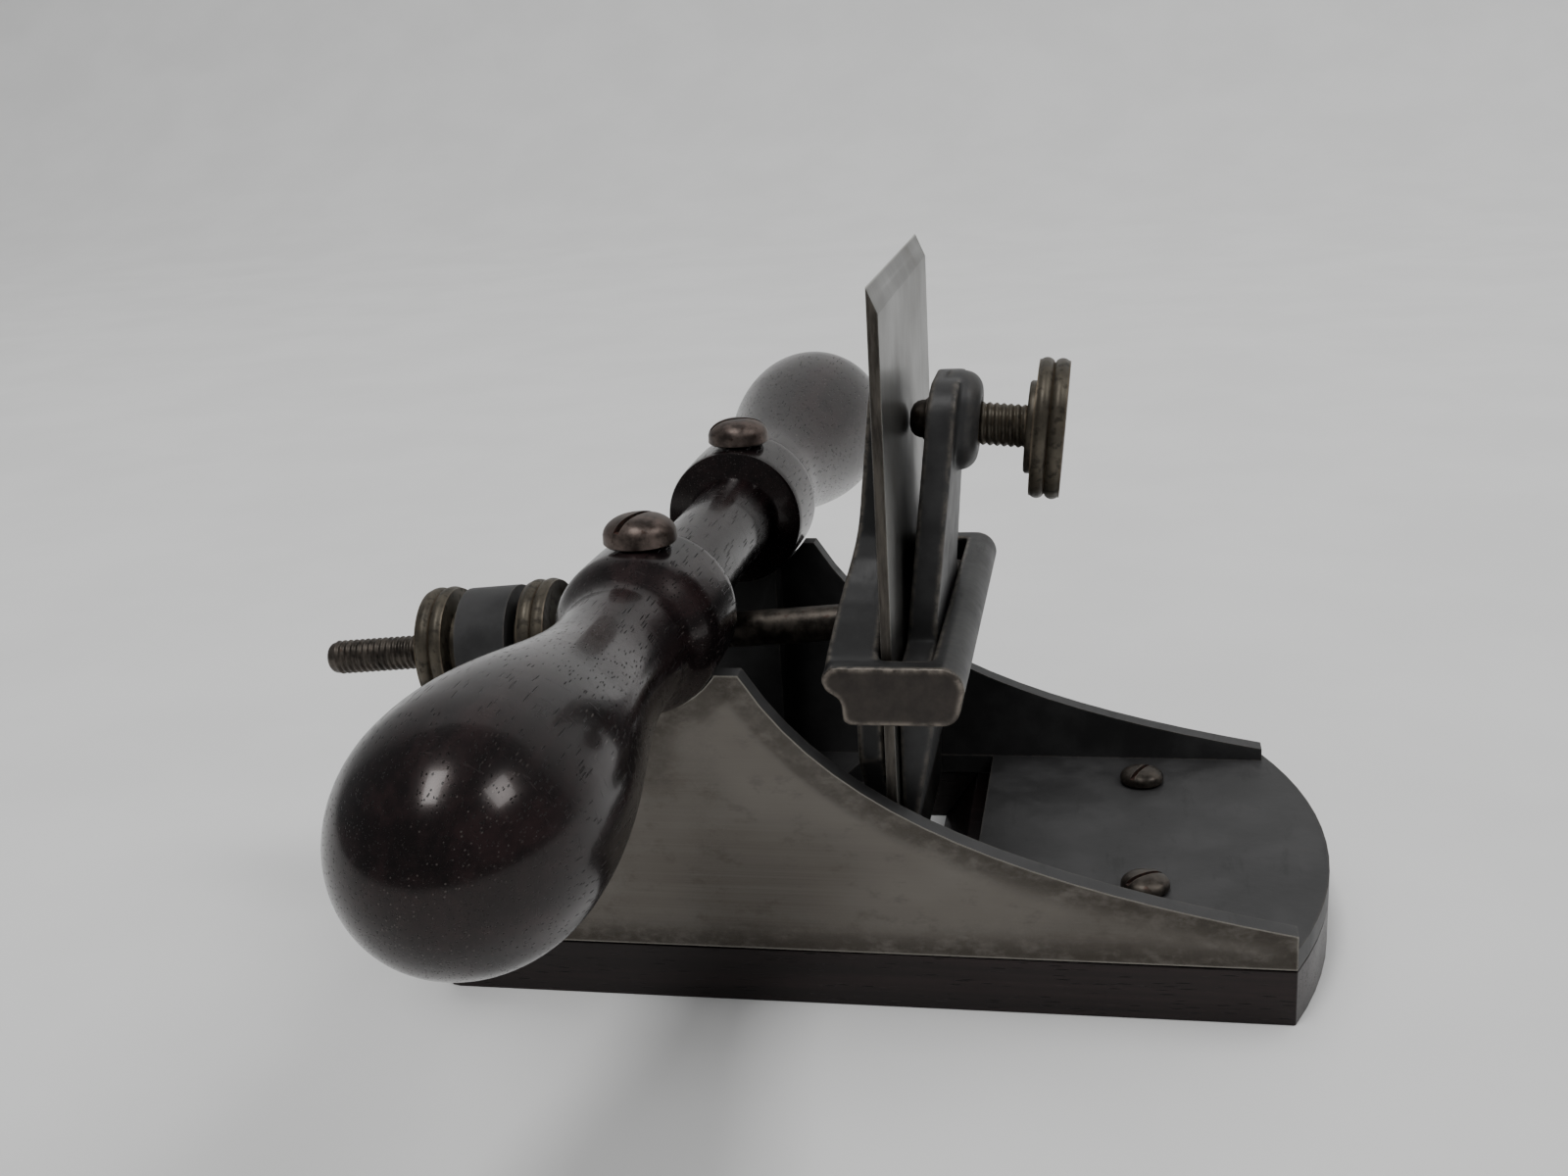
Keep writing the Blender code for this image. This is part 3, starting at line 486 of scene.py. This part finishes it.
def turned(profile, start, direction, segments=96, radius_change=None):
    """A turned shape. The profile lists (distance along the axis, radius); ends on the axis close it."""
    axis, side, up = frame_along(direction)
    start = Vector(start)
    bm = bmesh.new()
    rings = []
    for distance, radius in profile:
        centre = start + axis * distance
        if radius < 1e-7:
            rings.append([bm.verts.new(centre)])
            continue
        ring = []
        for i in range(segments):
            angle = 2 * math.pi * i / segments
            r = radius if radius_change is None else radius + radius_change(distance, angle)
            ring.append(bm.verts.new(centre + (side * math.cos(angle) + up * math.sin(angle)) * r))
        rings.append(ring)
    for low, high in zip(rings, rings[1:]):
        for i in range(segments):
            j = (i + 1) % segments
            corners = (low[i % len(low)], low[j % len(low)], high[j % len(high)], high[i % len(high)])
            unique = list(dict.fromkeys(corners))
            if len(unique) > 2:
                bm.faces.new(unique)
    bmesh.ops.recalc_face_normals(bm, faces=bm.faces)
    return bm


def cut(obj, cutter_bm, material=None):
    """Cuts a shape out of obj. The cut faces take the material, which has to be in obj's slots."""
    mesh = bpy.data.meshes.new("cutter")
    cutter_bm.to_mesh(mesh)
    cutter_bm.free()
    if material is not None:
        mesh.materials.append(material)
    cutter = bpy.data.objects.new("cutter", mesh)
    bpy.context.scene.collection.objects.link(cutter)
    boolean = obj.modifiers.new("Cut", "BOOLEAN")
    boolean.operation = "DIFFERENCE"
    boolean.solver = "EXACT"
    boolean.material_mode = "TRANSFER"
    boolean.object = cutter
    apply_modifiers(obj)
    bpy.data.objects.remove(cutter)
    return obj


def block(low, high, turn=0.0, centre=(0, 0, 0)):
    """A box from low to high, turned about Z and then moved to centre."""
    bm = bmesh.new()
    bmesh.ops.create_cube(bm, size=1.0)
    for vert in bm.verts:
        vert.co = Vector([a + (b - a) * (c + 0.5) for a, b, c in zip(low, high, vert.co)])
        x, y = vert.co.x, vert.co.y
        vert.co.x = x * math.cos(turn) - y * math.sin(turn)
        vert.co.y = x * math.sin(turn) + y * math.cos(turn)
        vert.co += Vector(centre)
    return bm


def centre_of(node):
    low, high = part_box(node)
    return (low + high) / 2


# ---------------------------------------------------------------- handle


def smooth_step(t):
    t = min(1.0, max(0.0, t))
    return t * t * (3 - 2 * t)


def handle_radius(y, half_length):
    """Radius of the turned handle at a distance y from its middle."""
    cap_start = half_length - KNOB_CAP_LENGTH
    if y >= cap_start:
        return KNOB_RADIUS * math.sqrt(max(0.0, 1 - ((y - cap_start) / KNOB_CAP_LENGTH) ** 2))
    if y >= BEAD_OUTER_Y:
        knob = smooth_step((y - KNOB_START_Y) / (KNOB_FULL_Y - KNOB_START_Y))
        return NECK_RADIUS + (KNOB_RADIUS - NECK_RADIUS) * knob
    if y >= BEAD_FULL_Y:
        bead = smooth_step((BEAD_OUTER_Y - y) / (BEAD_OUTER_Y - BEAD_FULL_Y))
        return NECK_RADIUS + (BEAD_RADIUS - NECK_RADIUS) * bead
    return BEAD_RADIUS - 0.3 * MM * ((BEAD_FULL_Y - y) / (BEAD_FULL_Y - SHOULDER_Y)) ** 2


def build_handle(wood):
    low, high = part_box("handle")
    middle = (low + high) / 2
    along = centre_of("handle_screw_far") - centre_of("handle_screw_near")
    along.z = 0.0
    along.normalize()
    half_length = (high.y - low.y) / 2 / along.y
    cap_start = half_length - KNOB_CAP_LENGTH
    outer = [cap_start + KNOB_CAP_LENGTH * math.cos(math.radians(a)) for a in range(0, 90, 4)]
    steps = 70
    outer += [cap_start - (cap_start - SHOULDER_Y - 1.0 * MM) * i / steps for i in range(steps + 1)]
    half = [(y, handle_radius(y, half_length)) for y in outer]
    half[0] = (half_length, 0.0)
    shoulder = handle_radius(SHOULDER_Y, half_length)
    half += [(SHOULDER_Y + 0.35 * MM, shoulder - 0.12 * MM), (SHOULDER_Y, shoulder - 0.6 * MM)]
    half += [(SHOULDER_Y - 0.1 * MM, GRIP_RADIUS + 1.2 * MM)]
    half += [(SHOULDER_Y - 0.5 * MM, GRIP_RADIUS + 0.45 * MM)]
    half += [(SHOULDER_Y - 1.6 * MM, GRIP_RADIUS), (14 * MM, GRIP_RADIUS), (0.0, GRIP_RADIUS)]
    profile = half + [(-y, radius) for y, radius in reversed(half[:-1])]
    bm = turned(profile, middle, along, 112)
    obj = new_piece("turned_handle", bm, "bed", [wood], ["handle"])
    seat = [(0, 0), (0, SCREW_SEAT_RADIUS), (SCREW_SEAT_DEPTH, SCREW_SEAT_RADIUS), (SCREW_SEAT_DEPTH, 0)]
    for node in ("handle_screw_near", "handle_screw_far"):
        place = centre_of(node)
        cut(obj, turned(seat, (place.x, place.y, SCREW_SEAT_Z), (0, 0, 1), 64))
    obj.data.shade_smooth()
    obj.data.set_sharp_from_angle(angle=math.radians(38))
    return obj


# ---------------------------------------------------------------- screws


def build_screw(node, size, slot_deg, steel, slot_grime_and_shade):
    """A round-head screw with an eased rim and a cut slot. Its shank stays hidden."""
    head_radius, head_height, slot_width = size
    low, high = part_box(node)
    centre = (low + high) / 2
    base = high.z - head_height
    rim = 0.28 * head_height
    steps = 12
    shank = 0.36 * head_radius
    profile = [(low.z, 0.0), (low.z + 2 * MM, shank), (base, shank)]
    profile += [(base, head_radius - 0.35 * MM), (base + 0.3 * MM, head_radius)]
    for i in range(1, steps + 1):
        angle = math.pi / 2 * i / steps
        dome = (head_height - rim) * math.sin(angle)
        profile.append((base + rim + dome, head_radius * math.cos(angle) ** 0.82))
    profile[-1] = (high.z, 0.0)
    bm = turned(profile, (centre.x, centre.y, 0), (0, 0, 1), 64)
    obj = new_piece(f"{node}_head", bm, "bed", [steel, slot_grime_and_shade], [node], 30)
    depth = 0.42 * head_height
    reach = 1.2 * head_radius
    slot = block(
        (-reach, -slot_width / 2, -depth),
        (reach, slot_width / 2, depth),
        math.radians(slot_deg),
        (centre.x, centre.y, high.z),
    )
    cut(obj, slot, slot_grime_and_shade)
    obj.data.shade_smooth()
    obj.data.set_sharp_from_angle(angle=math.radians(30))
    return obj


# ---------------------------------------------------------------- nuts, thumbscrew and rod


def rim_profile(start, radius):
    """The rim of a wheel: two rounded ridges with a groove between them."""
    points = []
    steps = 26
    for i in range(steps + 1):
        t = i / steps
        ridge = abs(math.sin(2 * math.pi * t)) ** 0.55
        edge = min(1.0, t / 0.06, (1 - t) / 0.06)
        points.append((start + RIM_WIDTH * t, radius - 0.95 * MM * (1 - ridge) * (0.45 + 0.55 * edge)))
    return points


def thread_wave(distance, angle):
    """Depth below the crest of a helical thread at a distance along the axis and an angle round it."""
    turn = (distance / THREAD_PITCH - angle / (2 * math.pi)) % 1.0
    return -THREAD_DEPTH * abs(2 * turn - 1) ** 1.3


def build_nut(node, brass):
    """A nut: hub against the post's eye, then a grooved rim, a shallow dish and the threaded hole."""
    low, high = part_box(node)
    centre = (low + high) / 2
    radius = (high.y - low.y) / 2
    eye = (centre_of("rear_nut") + centre_of("front_nut")) / 2
    direction = (centre - eye).normalized()
    length = RIM_WIDTH + NUT_HUB_WIDTH
    start = centre - direction * length / 2
    profile = [(0.5 * MM, NUT_BORE), (0.0, NUT_BORE + 0.5 * MM)]
    profile += [(0.0, HUB_RADIUS - 0.4 * MM), (0.4 * MM, HUB_RADIUS)]
    profile += [(NUT_HUB_WIDTH - 0.25 * MM, HUB_RADIUS), (NUT_HUB_WIDTH, HUB_RADIUS + 0.35 * MM)]
    profile += rim_profile(NUT_HUB_WIDTH, radius)
    profile += [(length - 0.1 * MM, radius - 1.7 * MM), (length - 0.6 * MM, radius - 2.6 * MM)]
    profile += [(length - 0.6 * MM, NUT_BORE + 1.6 * MM), (length - 0.4 * MM, NUT_BORE + 0.6 * MM)]
    profile += [(length - 0.9 * MM, NUT_BORE), (0.5 * MM, NUT_BORE)]
    bm = turned(profile, start, direction, 112)
    return new_piece(f"{node}_brass", bm, node, [brass], [node], 40)


def build_thumbscrew(brass, dark):
    """The thumbscrew: a rounded tip painted dark as shade, a threaded shank, and a wheel with a grooved rim.
    """
    low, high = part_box("thumbscrew")
    direction = Vector((math.cos(CAP_TILT), 0, -math.sin(CAP_TILT)))
    radius = (high.y - low.y) / 2
    hub_start = THUMBSCREW_HUB_START
    hub_end = THUMBSCREW_LENGTH - RIM_WIDTH
    wheel_end = THUMBSCREW_LENGTH
    middle = (low + high) / 2
    start_z = middle.z + math.tan(CAP_TILT) * (middle.x - low.x) + 0.75 * MM
    start = Vector((low.x, 0, start_z))
    profile = [(0.0, 0.0), (0.1 * MM, 1.5 * MM), (0.5 * MM, 2.5 * MM), (1.1 * MM, 3.1 * MM)]
    profile += [(2.0 * MM, 3.45 * MM), (2.6 * MM, 3.5 * MM)]
    steps = int((hub_start - THUMBSCREW_THREAD_START) / (THREAD_PITCH / 8))
    threaded = hub_start - THUMBSCREW_THREAD_START - 0.2 * MM
    for i in range(steps + 1):
        profile.append((THUMBSCREW_THREAD_START + threaded * i / steps, THUMBSCREW_RADIUS))
    profile += [(hub_start, 4.6 * MM), (hub_start, HUB_RADIUS - SMALL_CHAMFER)]
    profile += [(hub_start + SMALL_CHAMFER, HUB_RADIUS)]
    profile += [(hub_end - 0.1 * MM, HUB_RADIUS), (hub_end, HUB_RADIUS + 0.3 * MM)]
    profile += rim_profile(hub_end, radius)
    profile += [(wheel_end - 0.1 * MM, radius - 1.7 * MM), (wheel_end - 0.35 * MM, radius - 3.2 * MM)]
    profile += [(wheel_end - 0.35 * MM, 2.2 * MM), (wheel_end, 1.6 * MM), (wheel_end, 0.0)]

    def thread(distance, angle):
        fade = min(1.0, max(0.0, (distance - THUMBSCREW_THREAD_START) / MM))
        fade *= distance < hub_start - 0.1 * MM
        return thread_wave(distance, angle) * fade

    bm = turned(profile, start, direction, 96, thread)
    materials = [brass, dark]
    obj = new_piece("thumbscrew_brass", bm, "thumbscrew", materials, ["thumbscrew"], 50)
    # Painted shade: the tip, which sits in shadow between blade and lever cap, takes the dark steel.
    paint_faces(obj, lambda centre, normal: centre.x < low.x + THUMBSCREW_SHADED_TIP_LENGTH)
    return obj


def build_rod(steel):
    """The rod: a flat eye on the frog's pin, a plain stretch, then a thread to the rounded end."""
    pin = centre_of("rod_pin")
    direction = Vector((-math.cos(ROD_SLOPE), 0, -math.sin(ROD_SLOPE)))
    low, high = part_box("adjusting_rod")
    length = (pin.x - low.x) / math.cos(ROD_SLOPE) - 0.05 * MM
    tip = 2.2 * MM
    profile = [(2.0 * MM, 0.0), (2.0 * MM, ROD_RADIUS), (ROD_PLAIN_LENGTH, ROD_RADIUS)]
    thread_end = length - tip
    threaded = thread_end - ROD_PLAIN_LENGTH
    steps = int(threaded / (THREAD_PITCH / 7))
    profile += [(ROD_PLAIN_LENGTH + threaded * i / steps, ROD_RADIUS) for i in range(1, steps + 1)]
    for i in range(1, 8):
        angle = math.pi / 2 * i / 7
        end_radius = (ROD_RADIUS - 0.15 * MM) * math.cos(angle) ** 0.6
        profile.append((thread_end + tip * math.sin(angle), end_radius))
    profile[-1] = (length, 0.0)

    def thread(distance, angle):
        fade = min(1.0, max(0.0, (distance - ROD_PLAIN_LENGTH) / (2 * MM)))
        fade *= min(1.0, max(0.0, (thread_end + 1.2 * MM - distance) / (1.5 * MM)))
        return thread_wave(distance, angle) * fade

    bm = turned(profile, pin, direction, 40, thread)
    rod = new_piece("threaded_rod", bm, "rod", [steel], ["adjusting_rod"], 60)
    half = ROD_EYE_HALF_WIDTH
    outer = high.x - pin.x
    ease = SMALL_CHAMFER
    ring = [(-half, ROD_EYE_BORE), (-half, outer - ease), (-half + ease, outer)]
    ring += [(half - ease, outer), (half, outer - ease), (half, ROD_EYE_BORE), (-half, ROD_EYE_BORE)]
    bm = turned(ring, pin, (0, 1, 0), 48)
    eye = new_piece("rod_eye", bm, "rod", [steel], (), 40)
    return rod, eye


def build_pin(node, body, steel):
    """A plain pin with chamfered ends."""
    low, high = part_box(node)
    centre = (low + high) / 2
    radius = (high.x - low.x) / 2
    half = (high.y - low.y) / 2
    ease = SMALL_CHAMFER
    profile = [(-half, 0.0), (-half, radius - ease), (-half + ease, radius), (half - ease, radius)]
    profile += [(half, radius - ease), (half, 0.0)]
    bm = turned(profile, centre, (0, 1, 0), 40)
    return new_piece(f"{node}_steel", bm, body, [steel], [node], 35)


# ---------------------------------------------------------------- castings, sole and blade


def build_body(japan, ground):
    """The body casting: japanned, with the outer faces of the cheeks ground bare."""
    bm = cad_mesh("body_casting")
    obj = new_piece("bed_casting", bm, "bed", [japan, ground], ["body_casting"])
    paint_sides(obj, "body_casting", 0.98, OUTER_FACE_DEPTH)
    return soften(obj, 0.45 * MM)


def build_sole(wood):
    bm = cad_mesh("wood_sole")
    obj = new_piece("rosewood_sole", bm, "bed", [wood], ["wood_sole"])
    return soften(obj, 0.35 * MM)


def build_frog(japan, bare):
    """The frog: japanned, with bare ends on its bar."""
    obj = new_piece("frog_casting", cad_mesh("frog"), "frog", [japan, bare], ["frog"])
    cast(obj, CAST_VOXEL, CAST_ROUNDS)
    paint_sides(obj, "frog", 0.8, CAST_OUTER_FACE_DEPTH)
    return obj


def build_lever_cap(japan):
    bm = cad_mesh("lever_cap")
    obj = new_piece("lever_cap_casting", bm, "lever_cap", [japan], ["lever_cap"])
    return cast(obj, CAST_VOXEL, CAST_ROUNDS)


def build_blade(steel, edge):
    """The blade: satin faces and darker sheared sides."""
    obj = new_piece("scraper_blade", cad_mesh("blade"), "blade", [steel, edge], ["blade"])
    paint_sides(obj, "blade", 0.9, OUTER_FACE_DEPTH)
    return soften(obj, 0.12 * MM, 2, 15)


# ---------------------------------------------------------------- stage


def area_light(name, place, target, size, energy, mirrored=True):
    """A rectangular lamp. With mirrored off it lights the pieces, but doesn't show in their gloss."""
    light = bpy.data.lights.new(name, "AREA")
    light.shape = "RECTANGLE"
    light.size, light.size_y = size
    light.energy = energy
    obj = bpy.data.objects.new(name, light)
    obj.location = place
    obj.rotation_euler = (Vector(target) - Vector(place)).to_track_quat("-Z", "Y").to_euler()
    obj.visible_glossy = mirrored
    bpy.context.scene.collection.objects.link(obj)


def build_stage():
    """A pale floor that sweeps up into a backdrop."""
    bm = bmesh.new()
    radius = BACKDROP_RADIUS
    line = [(FLOOR_FRONT_Y, 0.0), (0.0, 0.0)]
    for i in range(13):
        angle = math.pi / 2 * i / 12
        line.append((BACKDROP_Y + radius * math.sin(angle), radius - radius * math.cos(angle)))
    line.append((BACKDROP_Y + radius, BACKDROP_TOP_Z))
    rows = [[bm.verts.new((x, y, z)) for x in (-FLOOR_HALF_WIDTH, FLOOR_HALF_WIDTH)] for y, z in line]
    for a, b in zip(rows, rows[1:]):
        bm.faces.new((a[0], a[1], b[1], b[0]))
    mesh = bpy.data.meshes.new("backdrop")
    bm.to_mesh(mesh)
    bm.free()
    mesh.materials.append(floor_paper("pale_ground"))
    mesh.shade_smooth()
    backdrop = bpy.data.objects.new("backdrop", mesh)
    bpy.context.scene.collection.objects.link(backdrop)


def build_lights():
    """Soft daylight: a dim sky, two overhead panels, and a broad light behind and a weak one in front."""
    world = bpy.data.worlds.new("soft_room")
    world.use_nodes = True
    background = world.node_tree.nodes["Background"]
    background.inputs["Color"].default_value = (0.97, 0.985, 1.0, 1.0)
    background.inputs["Strength"].default_value = 0.18
    bpy.context.scene.world = world

    area_light("panel_left", (-0.31, -0.57, 2.15), (-0.31, -0.57, 0.0), (0.48, 0.88), 17)
    area_light("panel_right", (1.75, -0.15, 2.15), (1.2, 0.0, 0.0), (0.75, 0.90), 17)
    area_light("back_of_room", (0.3, 0.9, 2.7), (0.2, 0.5, 0.0), (4.0, 1.4), 38.5, mirrored=False)
    area_light("front_fill", (-0.5, -1.7, 1.1), (0.0, 0.0, 0.05), (1.6, 1.2), 2.5, mirrored=False)


def build_camera():
    camera = bpy.data.cameras.new("camera")
    camera.lens = LENS_MM
    camera.sensor_width = SENSOR_MM
    camera.clip_start = 0.01
    obj = bpy.data.objects.new("camera", camera)
    obj.location = CAMERA_PLACE
    obj.rotation_euler = [math.radians(a) for a in CAMERA_TURN_DEG]
    bpy.context.scene.collection.objects.link(obj)
    bpy.context.scene.camera = obj


def main():
    handle_wood = rosewood("handle_rosewood", along=1, polished=0.17, wax_and_glints=0.9)
    sole_wood = rosewood("sole_rosewood", along=0, polished=0.36, wax_and_glints=0.1)
    japan = japanned_iron("bed_japanning", wear=0.5, tint=1.5, dullness=0.10)
    worn_japan = japanned_iron("fitting_japanning", wear=0.6, tint=1.6, dullness=0.05, rounded=True)
    # The frog's japanning is a darker copy of the bed's: painted shade for the occluded frog beside the
    # blade; its rubbed corners are wear.
    frog_shaded_japan = japanned_iron("frog_japanning_shaded", wear=1.0, tint=0.8, dullness=0.04, rounded=True)
    brass = patinated_brass("old_brass")
    screw_steel = browned_steel("handle_screw_steel", (0.165, 0.128, 0.112))
    dark_steel = browned_steel("dark_steel", (0.105, 0.090, 0.076))
    slot_grime_and_shade = slot_grime_and_shadow("slot_grime_and_painted_shade")

    build_body(japan, ground_iron("ground_cheeks"))
    build_sole(sole_wood)
    build_handle(handle_wood)
    for place, slot_deg in HANDLE_SLOTS_DEG.items():
        build_screw(f"handle_screw_{place}", HANDLE_SCREW, slot_deg, screw_steel, slot_grime_and_shade)
    for place, slot_deg in SOLE_SLOTS_DEG.items():
        build_screw(f"sole_screw_{place}", SOLE_SCREW, slot_deg, dark_steel, slot_grime_and_shade)
    build_frog(frog_shaded_japan, bare_iron("bare_bar_ends"))
    build_lever_cap(worn_japan)
    build_blade(blade_steel("satin_blade"), blade_edge("blade_sides"))
    build_thumbscrew(brass, dark_steel)
    build_nut("rear_nut", brass)
    build_nut("front_nut", brass)
    build_rod(dark_steel)
    build_pin("frog_pivot_pin", "bed", dark_steel)
    build_pin("rod_pin", "frog", dark_steel)
    build_stage()
    build_lights()
    build_camera()


main()
